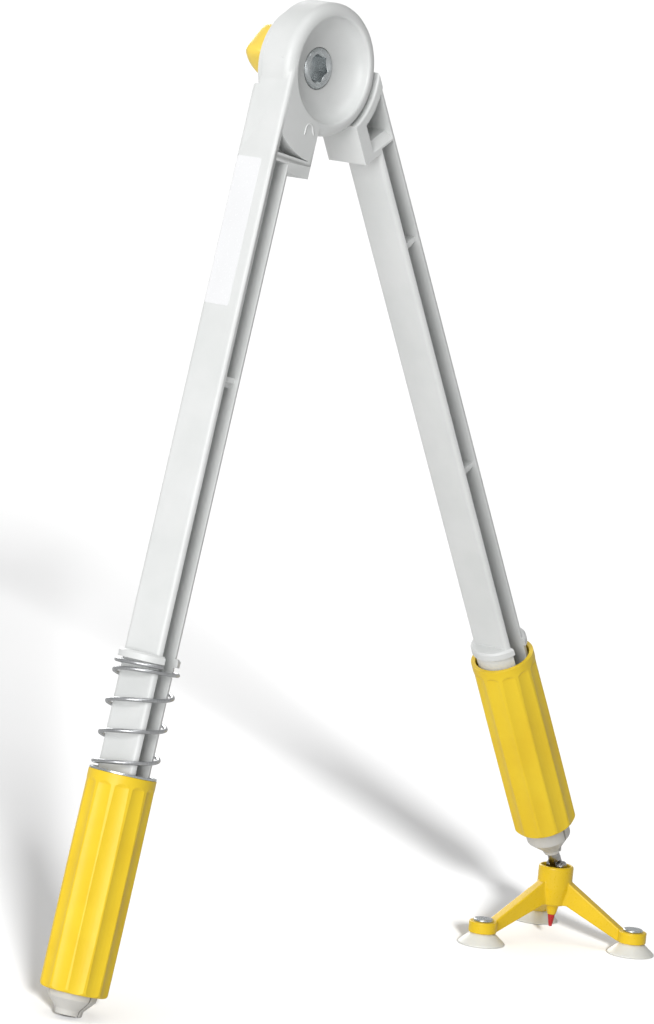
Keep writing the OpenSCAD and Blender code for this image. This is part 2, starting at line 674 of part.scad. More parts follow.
// Fork with two round-topped ears, a flange and a spindle with a snap bead
ear_in = tongue_half + 0.1;
flange_z = floor_z + washer_t + 2.8;
spindle_low = hub_low_z + 2.5;
module spindle_shape(c) {
    rotate_extrude() polygon([[0, spindle_low - c], [spindle_r + c - 0.6, spindle_low - c],
        [spindle_r + c, spindle_low + 0.6 - c], [spindle_r + c, spindle_low + 1.5 - c],
        [spindle_r + 0.4 + c, spindle_low + 2 - c], [spindle_r + 0.4 + c, spindle_low + 3 + c],
        [spindle_r + c, spindle_low + 3.5 + c], [spindle_r + c, floor_z + 1.5], [0, floor_z + 1.5]]);
}
module swivel_fork() {
    color([0.5, 0.51, 0.52]) stand() translate([foot_x, 0, 0]) difference() {
        union() {
            spindle_shape(0);
            rotate_extrude() polygon([[0, floor_z + washer_t], [socket_bore_r - room, floor_z + washer_t],
                [socket_bore_r - room, flange_z - 0.8], [socket_bore_r - room - 0.8, flange_z], [0, flange_z]]);
            for (m = [-1, 1]) translate([0, m * (ear_in + ear_t / 2), 0]) {
                translate([-tongue_r, -ear_t / 2, flange_z - 1])
                    cube([2 * tongue_r, ear_t, knuckle_z - flange_z + 1]);
                translate([0, 0, knuckle_z]) rotate([90, 0, 0])
                    cylinder(r = tongue_r, h = ear_t, center = true);
            }
        }
        translate([0, 0, knuckle_z]) rotate([90, 0, 0])
            cylinder(r = rivet_r + run, h = 4 * (ear_in + ear_t), center = true);
    }
}

module knuckle_rivet() {
    out = ear_in + ear_t;
    color(zinc) stand() translate([foot_x, 0, knuckle_z])
        hub_turn([[0, -out - 0.9], [rivet_r + 0.5, -out - 0.9], [rivet_r + 1.1, -out - 0.4],
            [rivet_r + 1.1, -out], [rivet_r, -out], [rivet_r, out], [rivet_r + 1.1, out],
            [rivet_r + 1.1, out + 0.4], [rivet_r + 0.5, out + 0.9], [0, out + 0.9]]);
}

module thrust_washer() {
    color([0.2, 0.2, 0.21]) stand() translate([foot_x, 0, floor_z]) difference() {
        cylinder(r = socket_bore_r - room, h = washer_t);
        translate([0, 0, -cut]) cylinder(r = spindle_r + loose, h = washer_t + 2 * cut);
    }
}

// Tripod: hub, three sloping arms with foot rings, and a nose for the pointer. Its socket's tube
// stands on the hub above the arms.
ring_z = cup_h + ring_h;
rim_z = floor_z + 3.5;
module tripod() {
    color(yellow) foot() difference() {
        union() {
            rotate_extrude() polygon([[0, tip_high_z], [2.3, tip_high_z], [3.7, hub_low_z],
                [hub_low_r - 0.8, hub_low_z], [hub_low_r, hub_low_z + 0.8],
                [socket_r, floor_z - 0.5], [socket_r, rim_z], [0, rim_z]]);
            for (k = [0 : 2]) rotate([0, 0, 120 * k]) {
                rotate([90, 0, 0]) translate([0, 0, -arm_t / 2]) linear_extrude(height = arm_t)
                    polygon([[0, hub_low_z], [hub_low_r + 1.5, hub_low_z + 0.6], [arm_r - ring_r, cup_h],
                        [arm_r, cup_h], [arm_r, ring_z], [arm_r - ring_r + 1.5, ring_z],
                        [socket_r, floor_z + 3], [0, floor_z + 3]]);
                translate([arm_r, 0, cup_h]) cylinder(r = ring_r, h = ring_h);
            }
        }
        translate([0, 0, floor_z]) cylinder(r = socket_bore_r, h = rim_z - floor_z + cut);
        spindle_shape(run);
        translate([0, 0, tip_high_z - cut]) cylinder(r = 1.4, h = hub_low_z - tip_high_z + cut);
        for (k = [0 : 2]) rotate([0, 0, 120 * k]) translate([arm_r, 0, cup_h - cut])
            cylinder(r = cup_stem_r + loose, h = ring_h + 2 * cut);
    }
}

module tripod_socket() {
    color(yellow) foot() rotate_extrude() polygon([[socket_bore_r, rim_z], [socket_r, rim_z],
        [socket_r, socket_z - 0.6], [socket_r - 0.6, socket_z], [socket_bore_r, socket_z]]);
}

module centre_tip() {
    color([0.78, 0.13, 0.12]) foot() rotate_extrude() polygon([[0, tip_low_z], [0.9, tip_low_z],
        [2, tip_high_z], [1.4 - run, tip_high_z], [1.4 - run, hub_low_z - room], [0, hub_low_z - room]]);
}

// Suction cup: cone with a hollow underside and a stem through the foot ring
module suction_cup(k) {
    hollow = cup_h - 2;
    lip_r = cup_r - 1.2;
    dome_r = (lip_r * lip_r + hollow * hollow) / (2 * hollow);
    color([0.93, 0.93, 0.9]) foot() rotate([0, 0, 120 * k]) translate([arm_r, 0, 0]) difference() {
        rotate_extrude() polygon([[0, 0], [cup_r, 0], [cup_r, 0.8], [ring_r - 1.2, cup_h],
            [cup_stem_r, cup_h], [cup_stem_r, ring_z], [0, ring_z]]);
        translate([0, 0, hollow - dome_r]) sphere(r = dome_r);
        translate([0, 0, hollow + 1]) cylinder(r = cup_stem_r / 2 + run, h = ring_z);
    }
}
module suction_cup_1() { suction_cup(0); }
module suction_cup_2() { suction_cup(1); }
module suction_cup_3() { suction_cup(2); }

module cup_rivet(k) {
    color(zinc) foot() rotate([0, 0, 120 * k]) translate([arm_r, 0, 0])
        rotate_extrude() polygon([[0, cup_h - 0.6], [cup_stem_r / 2, cup_h - 0.6], [cup_stem_r / 2, ring_z],
            [button_r, ring_z], [button_r, ring_z + button_t - 0.5], [button_r - 0.5, ring_z + button_t],
            [0, ring_z + button_t]]);
}
module cup_rivet_1() { cup_rivet(0); }
module cup_rivet_2() { cup_rivet(1); }
module cup_rivet_3() { cup_rivet(2); }

left_hub();
left_leg();
right_leg();
friction_disc();
pivot_bolt();
bolt_washer();
rear_washer();
clamp_knob();
knob_nut();
marker_spring();
spring_washer();
marker_sleeve();
marker_jaw_1();
marker_jaw_2();
marker_jaw_3();
foot_sleeve();
foot_jaw_1();
foot_jaw_2();
foot_jaw_3();
foot_pin();
swivel_fork();
knuckle_rivet();
thrust_washer();
tripod();
tripod_socket();
centre_tip();
suction_cup_1();
suction_cup_2();
suction_cup_3();
cup_rivet_1();
cup_rivet_2();
cup_rivet_3();
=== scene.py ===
"""Board compass: finishes, softened edges, spring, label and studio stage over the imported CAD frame."""

import json
import math

import bpy
from bpy.props import FloatProperty, FloatVectorProperty, IntProperty, PointerProperty
from mathutils import Matrix, Vector


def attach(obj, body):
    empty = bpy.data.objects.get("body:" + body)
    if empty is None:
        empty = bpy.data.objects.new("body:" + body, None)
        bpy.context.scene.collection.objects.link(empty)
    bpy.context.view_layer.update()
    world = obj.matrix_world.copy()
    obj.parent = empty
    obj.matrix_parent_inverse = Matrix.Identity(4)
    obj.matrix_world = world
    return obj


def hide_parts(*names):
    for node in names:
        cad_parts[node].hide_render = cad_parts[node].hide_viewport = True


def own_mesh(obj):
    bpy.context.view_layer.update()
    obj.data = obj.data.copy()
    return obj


bl_info = {
    "name": "Board compass",
    "version": (1, 0, 0),
    "blender": (4, 5, 0),
    "location": "View3D > Sidebar > Compass",
    "description": "Dresses a board compass with its finishes, spring, label and studio stage",
    "category": "Object",
}

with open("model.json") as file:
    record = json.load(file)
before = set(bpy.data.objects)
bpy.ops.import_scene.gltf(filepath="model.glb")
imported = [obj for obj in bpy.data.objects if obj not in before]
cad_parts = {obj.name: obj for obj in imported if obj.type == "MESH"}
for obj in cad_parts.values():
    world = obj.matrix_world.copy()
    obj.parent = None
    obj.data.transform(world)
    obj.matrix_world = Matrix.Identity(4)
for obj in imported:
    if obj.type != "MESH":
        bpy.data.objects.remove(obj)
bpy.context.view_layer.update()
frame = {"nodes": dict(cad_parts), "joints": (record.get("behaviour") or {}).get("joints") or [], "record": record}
body_of = {n: b for b, ns in frame["record"]["behaviour"]["bodies"].items() for n in ns}
slot_of = {s["node"]: s["material_slot"] for s in frame["record"]["subparts"]}
joint_of = {j["name"]: j for j in frame["joints"]}

# Places of the CAD frame, in metres: the hub axis, the marker leg's lean and its distance from that axis
HUB = Vector(joint_of["leg_opening"]["pos_m"])
SLIDE = Vector(joint_of["sleeve_slide"]["axis"])
LEG_LEAN = math.atan2(SLIDE.x, SLIDE.z)
LEG_OFFSET = 0.0225

# Mesh work: distances at which points are one, in metres, and angles that count as flat or as smooth
DOUBLE_GAP = 1e-6
JOINED_GAP = 2e-6
FLAT_ANGLE = math.radians(0.3)
SMOOTH_ANGLE = math.radians(35)
SPRING_SMOOTH_ANGLE = math.radians(40)
MARK_SMOOTH_ANGLE = math.radians(50)

# Mesh sizes of the tip and the knob as shares of the tripod's
TIP_GRID_SHARE = 0.6
KNOB_GRID_SHARE = 2

# Spring: close turns at its upper and lower end, turns over which the pitch changes, and points in a turn
UPPER_TURNS = 1.0
LOWER_TURNS = 0.25
RAMP_TURNS = 0.3
POINTS_PER_TURN = 40

# Turns the label's flat plane to the leg's side: its x to the front, its y up the leg, its face outwards
LABEL_TURN = Matrix(((0, 0, -1, 0), (-1, 0, 0, 0), (0, 1, 0, 0), (0, 0, 0, 1)))

# Arch on the hub plate, as x and z from the hub axis, and the y of the plate's front
ARCH_FRONT = -0.012
ARCH_LEFT_FOOT = (-0.0112, -0.0341)
ARCH_MIDDLE = (-0.0086, -0.0309)
ARCH_RIGHT_FOOT = (-0.0046, -0.0329)
ARCH_STEPS = 12

# Fine line over the edge of the hub's band, as x and y from the hub axis, and its z
BAND_LINE = ((-0.0324, -0.0055), (-0.0322, -0.0072), (-0.0310, -0.0102), (-0.0291, -0.0116),
             (-0.0272, -0.0120))
BAND_LEVEL = -0.0014

# Finishes: brightness of rubbed edges, strength and depth of the relief, and light inside soft plastic
RUBBED_PLASTIC = 1.12
RUBBED_METAL = 1.15
GRAIN_DEPTH = 0.0002
STREAK_DEPTH = 0.0001
STREAK_BUMP = 0.06
PLASTIC_IOR = 1.5
SOFT_RADIUS = (1.0, 0.9, 0.7)
SOFT_DEPTH = 0.002

# Stage: floor, the way to the room's bright side, and the lights, each with its power's property, its size
# and place, or its spread in degrees and way
FLOOR_SIZE = 60
FLOOR_DROP = 0.0002
BRIGHT_WAY = (-0.80, 0.35, 0.48)
LIGHT_AIM = Vector((-0.05, 0, 0.22))
OBJECT_LIGHTS = (
    ("key_light", "key", 1.4, (-2.2, -0.75, 0.77)),
    ("top_light", "top", 0.8, (-0.5, -0.66, 2.4)),
    ("rear_light", "rear", 1.2, (1.2, 2.1, 1.1)),
)
FLOOR_LIGHTS = (
    ("low_light", "low_sun", 6, (0.628, 0.7245, -0.283)),
    ("floor_light", "high_sun", 50, (0.1, 0.1, -1)),
)
SENSOR_WIDTH = 36
CLIP_END = 100


def colour(name, text, value):
    return FloatVectorProperty(name=name, description=text, subtype="COLOR", size=4, min=0, max=1,
                               default=(*value, 1))


def length(name, text, value):
    return FloatProperty(name=name, description=text, default=value, min=0, unit="LENGTH", precision=5)


def angle(name, text, degrees):
    return FloatProperty(name=name, description=text, subtype="ANGLE", default=math.radians(degrees))


def amount(name, text, value):
    return FloatProperty(name=name, description=text, default=value, min=0)


def rounds_of(name, text, value):
    return IntProperty(name=name, description=text, default=value, min=0)


class CompassSizes(bpy.types.PropertyGroup):
    """Sizes of what is added to the CAD frame"""
    edge: length("Edge", "Width of the softened edges on the mouldings", 0.0005)
    metal_edge: length("Metal edge", "Width of the broken edges on the metal parts", 0.00025)
    jaw_edge: length("Jaw edge", "Width of the broken edges on the jaws", 0.0003)
    cup_edge: length("Cup edge", "Width of the rounded edges on the suction cups", 0.0004)
    sleeve_edge: length("Sleeve edge", "Width of the rounded ridges and rims of the sleeves", 0.0004)
    foot_grid: length("Foot mesh", "Mesh size of the tripod, from which the tip's and the knob's come", 0.0004)
    tripod_rounds: rounds_of("Tripod rounding", "Smoothing rounds on the tripod's edges", 6)
    tip_rounds: rounds_of("Tip rounding", "Smoothing rounds on the pointer's edges", 4)
    knob_rounds: rounds_of("Knob rounding", "Smoothing rounds on the wing knob's edges", 60)
    knob_swell: length("Knob swell", "How far the knob is filled out before its edges are smoothed", 0.0016)
    wire_radius: length("Wire radius", "Radius of the spring's wire", 0.001)
    spring_radius: length("Spring radius", "Mean radius of the spring", 0.01523)
    spring_first: length("Spring start", "Distance of the wire's upper end down the leg", 0.2973)
    spring_last: length("Spring end", "Distance of the wire's lower end down the leg", 0.3485)
    closed_pitch: length("Closed pitch", "Rise of a closed turn", 0.0026)
    spring_turns: FloatProperty(name="Turns", description="All turns of the spring", default=4.65, min=3)
    spring_angle: angle("Start angle", "Angle of the wire's upper end", 250)
    mark_radius: length("Mark radius", "Radius of the moulded arch on the hub plate", 0.0026)
    mark_bead: length("Mark bead", "Half width of the moulded arch", 0.0004)
    band_bead: length("Band bead", "Half width of the fine line on the hub's band", 0.0002)
    label_start: length("Label start", "Distance of the label's upper end down the leg", 0.0505)
    label_end: length("Label end", "Distance of the label's lower end down the leg", 0.1227)
    label_width: length("Label width", "Width of the label", 0.0152)
    label_back: length("Label setback", "Distance of the label's middle behind the leg's", 0.0024)
    label_out: length("Label place", "Distance of the label's inner face from the leg's middle", 0.0072)
    label_thickness: length("Label thickness", "Thickness of the label", 0.00012)
    label_corner: length("Label corner", "Radius of the label's corners", 0.0012)


class CompassColours(bpy.types.PropertyGroup):
    """Colours of the finishes"""
    leg: colour("Leg", "Warm white of the legs", (0.71, 0.72, 0.715))
    leg_shade: colour("Leg shade", "Slightly greyer white in the legs' tone", (0.665, 0.68, 0.672))
    jaw: colour("Jaw", "White of the jaws", (0.62, 0.61, 0.58))
    sleeve: colour("Sleeve", "Yellow of the sleeves", (0.86, 0.612, 0.026))
    sleeve_deep: colour("Sleeve deep", "Deeper yellow in the sleeves' tone", (0.81, 0.55, 0.02))
    tripod: colour("Tripod", "Yellow of the tripod", (0.88, 0.59, 0.012))
    knob: colour("Knob", "Yellow of the wing knob", (0.90, 0.66, 0.10))
    tip: colour("Tip", "Red of the pointer", (0.58, 0.022, 0.025))
    cup: colour("Cup", "Milky white of the suction cups", (0.82, 0.82, 0.77))
    label: colour("Label", "White of the blank label", (0.80, 0.805, 0.815))
    zinc: colour("Zinc", "Bright zinc plating", (0.55, 0.58, 0.59))
    spring: colour("Spring steel", "Drawn spring steel", (0.50, 0.51, 0.52))
    steel: colour("Dark steel", "Polished dark steel", (0.42, 0.415, 0.40))
    fibre: colour("Fibre", "Friction disc", (0.13, 0.11, 0.09))
    black: colour("Black", "Black washer", (0.02, 0.02, 0.022))
    dust: colour("Dust", "Pale dust on the plastics", (0.72, 0.71, 0.68))
    floor: colour("Floor", "Pale floor", (0.96, 0.96, 0.96))


class CompassStage(bpy.types.PropertyGroup):
    """Camera and light"""
    azimuth: angle("Azimuth", "Camera's turn round the object", -49.929)
    elevation: angle("Elevation", "Camera's height angle", 7.296)
    roll: angle("Roll", "Camera's roll", 5.658)
    distance: length("Distance", "Camera's distance from its target", 2.3892)
    lens: FloatProperty(name="Lens", description="Focal length in millimetres", default=170.38, min=10)
    target: FloatVectorProperty(name="Target", description="Point that the camera looks at",
                                subtype="TRANSLATION", default=(-0.0489, 0.0033, 0.2385))
    key: amount("Key", "Power of the key light in watts", 38)
    top: amount("Top light", "Power of the light from above in watts", 10)
    rear: amount("Rear light", "Power of the light from behind in watts", 28)
    low_sun: amount("Low light", "Strength of the low light on the floor", 6.5)
    high_sun: amount("Floor light", "Strength of the soft light straight down on the floor", 0.75)
    bounce: FloatProperty(name="Bounce", description="Share of the floor's white that lights the object",
                          subtype="FACTOR", default=0.58, min=0, max=1)
    gloss: amount("Walls in the gloss", "Brightness of the room's walls in reflections", 0.55)
    room_bright: amount("Bright side", "Room's light from the upper left", 0.46)
    room_dark: amount("Dark side", "Room's light from the lower right", 0.07)


def sizes():
    return bpy.context.scene.compass_sizes


def colours():
    return bpy.context.scene.compass_colours


# Helpers for pieces


def object_mode():
    if bpy.context.object and bpy.context.object.mode != "OBJECT":
        bpy.ops.object.mode_set(mode="OBJECT")


def deselect():
    object_mode()
    bpy.ops.object.select_all(action="DESELECT")


def take(obj):
    deselect()
    obj.select_set(True)
    bpy.context.view_layer.objects.active = obj
    return obj


def edit_all(obj):
    """Opens a piece in edit mode with all of it selected."""
    take(obj)
    bpy.ops.object.mode_set(mode="EDIT")
    bpy.ops.mesh.select_mode(type="VERT")
    bpy.ops.mesh.select_all(action="SELECT")


def apply_modifier(obj, name, kind, **settings):
    """Adds a modifier with its settings and applies it."""
    take(obj)
    modifier = obj.modifiers.new(name, kind)
    for key, value in settings.items():
        setattr(modifier, key, value)
    bpy.ops.object.modifier_apply(modifier=modifier.name)


def done(obj, name, mat, body, slot, *nodes):
    """Names a finished piece, gives it its finish and hangs it on its body."""
    object_mode()
    obj.name = name
    obj.data.name = name
    obj.data.materials.clear()
    obj.data.materials.append(mat)
    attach(obj, body)
    if nodes:
        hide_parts(*nodes)
    return obj


def leg_matrix(offset=0.0):
    """From the marker leg's own frame, hanging straight down from the hub axis, to the finished frame."""
    return Matrix.Translation(HUB) @ Matrix.Rotation(LEG_LEAN, 4, "Y") @ Matrix.Translation((offset, 0, 0))


def place(obj, matrix):
    """Moves a piece from its own frame to the finished frame and applies that to its mesh."""
    take(obj)
    obj.matrix_world = matrix
    bpy.ops.object.transform_apply(location=True, rotation=True, scale=True)


def merge(obj, gap):
    """Joins a mesh's doubled points and melts its flat triangles into whole faces."""
    edit_all(obj)
    bpy.ops.mesh.remove_doubles(threshold=gap)
    bpy.ops.mesh.dissolve_limited(angle_limit=FLAT_ANGLE)
    bpy.ops.object.mode_set(mode="OBJECT")


def copied(nodes, name):
    """A merged copy of one CAD node, or of several that are one moulding, joined without inner walls."""
    parts = []
    for node in nodes:
        obj = bpy.data.objects.new(name, frame["nodes"][node].data.copy())
        bpy.context.scene.collection.objects.link(obj)
        merge(obj, DOUBLE_GAP)
        parts.append(obj)
    whole = parts[0]
    for other in parts[1:]:
        apply_modifier(whole, "joined", "BOOLEAN", operation="UNION", solver="EXACT", object=other)
        take(other)
        bpy.ops.object.delete()
        merge(whole, JOINED_GAP)
    return take(whole)


def softened(nodes, width, mat, segments=2, degrees=32):
    """A copy of CAD nodes with their sharp edges rounded, in the nodes' place."""
    name = nodes[0] + "_soft"
    obj = copied(nodes, name)
    apply_modifier(obj, "edges", "BEVEL", width=width, segments=segments, limit_method="ANGLE",
                   angle_limit=math.radians(degrees), use_clamp_overlap=True)
    bpy.ops.object.shade_smooth_by_angle(angle=SMOOTH_ANGLE)
    apply_modifier(obj, "even_normals", "WEIGHTED_NORMAL", keep_sharp=True)
    return done(obj, name, mat, body_of[nodes[0]], slot_of[nodes[0]], *nodes)


def moulded(nodes, grid, rounds, mat, swell=0.0):
    """A copy of CAD nodes with all edges and corners run together, as in a thick moulding."""
    name = nodes[0] + "_moulded"
    obj = copied(nodes, name)
    apply_modifier(obj, "even_mesh", "REMESH", mode="VOXEL", voxel_size=grid, use_smooth_shade=True)
    if swell:
        apply_modifier(obj, "fuller", "DISPLACE", strength=swell, mid_level=0)
    apply_modifier(obj, "run_edges", "SMOOTH", factor=0.5, iterations=rounds)
    bpy.ops.object.shade_smooth()
    return done(obj, name, mat, body_of[nodes[0]], slot_of[nodes[0]], *nodes)


def wire(name, path, radius):
    """A round wire along a path, closed at both ends."""
    curve = bpy.data.curves.new(name, "CURVE")
    curve.dimensions = "3D"
    curve.bevel_depth = radius
    curve.bevel_resolution = 4
    curve.use_fill_caps = True
    line = curve.splines.new("POLY")
    line.points.add(len(path) - 1)
    for point, at in zip(line.points, path):
        point.co = (*at, 1)
    obj = bpy.data.objects.new(name, curve)
    bpy.context.scene.collection.objects.link(obj)
    take(obj)
    bpy.ops.object.convert(target="MESH")
    return bpy.context.object


# Helpers for nodes


def add(tree, kind, inputs=None, **settings):
    """Adds a node, sets its properties and sets or links its inputs."""
    node = tree.nodes.new(kind)
    for key, value in settings.items():
        setattr(node, key, value)
    for key, value in (inputs or {}).items():
        if isinstance(value, bpy.types.NodeSocket):
            tree.links.new(value, node.inputs[key])
        else:
            node.inputs[key].default_value = value
    return node


def own_place(tree):
    """Place on a piece, in its own coordinates."""
    return add(tree, "ShaderNodeTexCoord").outputs["Object"]


def per_metre(tree, size):
    """Scale of a texture whose features are size metres wide."""
    return add(tree, "ShaderNodeMath", {0: 1.0, 1: size}, operation="DIVIDE").outputs[0]


def noise(tree, at, size, detail, roughness=0.5):
    """Noise whose patches are size metres wide."""
    values = {"Vector": at, "Scale": per_metre(tree, size), "Detail": detail, "Roughness": roughness}
    return add(tree, "ShaderNodeTexNoise", values).outputs["Fac"]


def to_range(tree, value, low, high, start=0.0, full=1.0, kind="LINEAR"):
    """Turns a value that runs from start to full into one that runs from low to high."""
    ends = {0: value, 1: start, 2: full, 3: low, 4: high}
    return add(tree, "ShaderNodeMapRange", ends, interpolation_type=kind).outputs[0]


def mask(tree, value, start, full, kind="LINEAR"):
    """A mask that begins where a value reaches start and is whole where it reaches full."""
    return to_range(tree, value, 0.0, 1.0, start, full, kind)


def times(tree, a, b):
    return add(tree, "ShaderNodeMath", {0: a, 1: b}, operation="MULTIPLY").outputs[0]


def blend_colour(tree, factor, a, b):
    return add(tree, "ShaderNodeMix", {"Factor": factor, 6: a, 7: b}, data_type="RGBA").outputs[2]


def shade(value, by):
    return tuple(c * by for c in value[:3]) + (1,)


# Node groups for effects that several finishes share


def new_group(name, inputs, outputs):
    """A node group whose inputs and outputs are plain values."""
    group = bpy.data.node_groups.new(name, "ShaderNodeTree")
    for label, default in inputs.items():
        socket = group.interface.new_socket(label, in_out="INPUT", socket_type="NodeSocketFloat")
        socket.default_value = default
    for label in outputs:
        group.interface.new_socket(label, in_out="OUTPUT", socket_type="NodeSocketFloat")
    return group, group.nodes.new("NodeGroupInput"), group.nodes.new("NodeGroupOutput")


def tone_group():
    """Slow drift of tone over a moulding, from pigment and cooling."""
    group, inp, out = new_group("tone_drift", {"Patch": 0.03, "Speck": 0.0012}, ("Drift", "Speck"))
    at = own_place(group)
    drift = noise(group, at, inp.outputs["Patch"], detail=3.0, roughness=0.55)
    speck = noise(group, at, inp.outputs["Speck"], detail=2.0, roughness=0.6)
    group.links.new(mask(group, drift, start=0.3, full=0.7, kind="SMOOTHSTEP"), out.inputs["Drift"])
    group.links.new(speck, out.inputs["Speck"])
    return group


def grain_group():
    """Fine spark-eroded grain of a mould, with the slight sink and ripple of thick walls."""
    inputs = {"Grain": 0.0005, "Ripple": 0.012, "Ripple Share": 0.4}
    group, inp, out = new_group("mould_grain", inputs, ("Height",))
    at = own_place(group)
    cells = {"Vector": at, "Scale": per_metre(group, inp.outputs["Grain"])}
    grain = add(group, "ShaderNodeTexVoronoi", cells, feature="SMOOTH_F1").outputs["Distance"]
    ripple = noise(group, at, inp.outputs["Ripple"], detail=1.0)
    heights = {"Factor": inp.outputs["Ripple Share"], "A": grain, "B": ripple}
    mixed = add(group, "ShaderNodeMix", heights, data_type="FLOAT").outputs["Result"]
    group.links.new(mixed, out.inputs["Height"])
    return group


def wear_group():
    """Mask of rubbed edges, broken up by noise."""
    group, inp, out = new_group("rubbed_edges", {"Width": 0.0008, "Breakup": 0.004}, ("Mask",))
    rounded = add(group, "ShaderNodeBevel", {"Radius": inp.outputs["Width"]}, samples=4).outputs[0]
    flat = add(group, "ShaderNodeNewGeometry").outputs["Normal"]
    likeness = add(group, "ShaderNodeVectorMath", {0: rounded, 1: flat}, operation="DOT_PRODUCT")
    edge = mask(group, likeness.outputs["Value"], start=0.995, full=0.86)
    patches = noise(group, own_place(group), inp.outputs["Breakup"], detail=4.0, roughness=0.7)
    broken = mask(group, patches, start=0.42, full=0.62)
    group.links.new(times(group, edge, broken), out.inputs["Mask"])
    return group


def dust_group():
    """Thin dust that settles on faces that look up."""
    group, inp, out = new_group("settled_dust", {"Patch": 0.006}, ("Mask",))
    normal = add(group, "ShaderNodeNewGeometry").outputs["Normal"]
    up = add(group, "ShaderNodeSeparateXYZ", {0: normal}).outputs["Z"]
    facing = mask(group, up, start=0.35, full=0.95)
    patches = noise(group, own_place(group), inp.outputs["Patch"], detail=5.0, roughness=0.75)
    cover = mask(group, patches, start=0.4, full=0.75)
    group.links.new(times(group, facing, cover), out.inputs["Mask"])
    return group


def metal_group():
    """Drawing streaks and plating blotches of a metal part."""
    group, inp, out = new_group("plated_metal", {"Streak": 0.0004, "Blotch": 0.003}, ("Streak", "Blotch"))
    at = own_place(group)
    drawn = {"Vector": at, "Rotation": (0, 0.2, 0), "Scale": (1, 1, 0.06)}
    turned = add(group, "ShaderNodeMapping", drawn).outputs[0]
    streak = noise(group, turned, inp.outputs["Streak"], detail=3.0)
    cells = {"Vector": at, "Scale": per_metre(group, inp.outputs["Blotch"])}
    blotch = add(group, "ShaderNodeTexVoronoi", cells).outputs["Color"]
    spread = add(group, "ShaderNodeSeparateColor", {0: blotch}).outputs[0]
    group.links.new(streak, out.inputs["Streak"])
    group.links.new(spread, out.inputs["Blotch"])
    return group


EFFECTS = {
    "tone": tone_group,
    "grain": grain_group,
    "wear": wear_group,
    "dust": dust_group,
    "metal": metal_group,
}
GROUPS = {}


def effect(tree, name, **inputs):
    """Places a shared effect in a finish, with that finish's own values, and gives its outputs."""
    if name not in GROUPS:
        GROUPS[name] = EFFECTS[name]()
    node = tree.nodes.new("ShaderNodeGroup")
    node.node_tree = GROUPS[name]
    for key, value in inputs.items():
        node.inputs[key.title()].default_value = value
    return node.outputs


# Finishes


def blank(name):
    mat = bpy.data.materials.new(name)
    mat.use_nodes = True
    return mat, mat.node_tree, mat.node_tree.nodes["Principled BSDF"]


def plastic(name, base, deep, rough, grain=0.0005, bump=0.1, wear=0.35, dust=0.05, specular=0.5, patch=0.03,
            soft=0.0):
    """Moulded plastic: drifting tone, mould grain, rubbed edges and a little dust."""
    mat, tree, bsdf = blank(name)
    tone = effect(tree, "tone", patch=patch)
    worn = effect(tree, "wear")["Mask"]
    dusty = effect(tree, "dust")["Mask"]
    skin = effect(tree, "grain", grain=grain)["Height"]
    body = blend_colour(tree, tone["Drift"], base, deep)
    rubbed = blend_colour(tree, to_range(tree, worn, 0.0, wear), body, shade(base, RUBBED_PLASTIC))
    top = blend_colour(tree, to_range(tree, dusty, 0.0, dust), rubbed, colours().dust)
    tree.links.new(top, bsdf.inputs["Base Color"])
    uneven = add(tree, "ShaderNodeMath", {0: tone["Speck"], 1: dusty}, operation="ADD", use_clamp=True)
    roughness = to_range(tree, uneven.outputs[0], *rough, start=0.3, full=0.8)
    tree.links.new(roughness, bsdf.inputs["Roughness"])
    relief = add(tree, "ShaderNodeBump", {"Strength": bump, "Distance": GRAIN_DEPTH, "Height": skin})
    tree.links.new(relief.outputs[0], bsdf.inputs["Normal"])
    bsdf.inputs["IOR"].default_value = PLASTIC_IOR
    bsdf.inputs["Specular IOR Level"].default_value = specular
    if soft:
        bsdf.inputs["Subsurface Weight"].default_value = soft
        bsdf.inputs["Subsurface Radius"].default_value = SOFT_RADIUS
        bsdf.inputs["Subsurface Scale"].default_value = SOFT_DEPTH
    return mat


def metal(name, base, dark, rough, blotch=0.003):
    """Metal with plating blotches, drawing streaks and worn edges."""
    mat, tree, bsdf = blank(name)
    plate = effect(tree, "metal", blotch=blotch)
    worn = effect(tree, "wear", width=0.0005, breakup=0.002)["Mask"]
    body = blend_colour(tree, to_range(tree, plate["Blotch"], 0.0, 0.7), base, dark)
    rubbed = blend_colour(tree, worn, body, shade(base, RUBBED_METAL))
    tree.links.new(rubbed, bsdf.inputs["Base Color"])
    bsdf.inputs["Metallic"].default_value = 1.0
    roughness = to_range(tree, plate["Streak"], *rough, start=0.3, full=0.7)
    tree.links.new(roughness, bsdf.inputs["Roughness"])
    streaks = {"Strength": STREAK_BUMP, "Distance": STREAK_DEPTH, "Height": plate["Streak"]}
    relief = add(tree, "ShaderNodeBump", streaks)
    tree.links.new(relief.outputs[0], bsdf.inputs["Normal"])
    return mat


FINISHES = {}


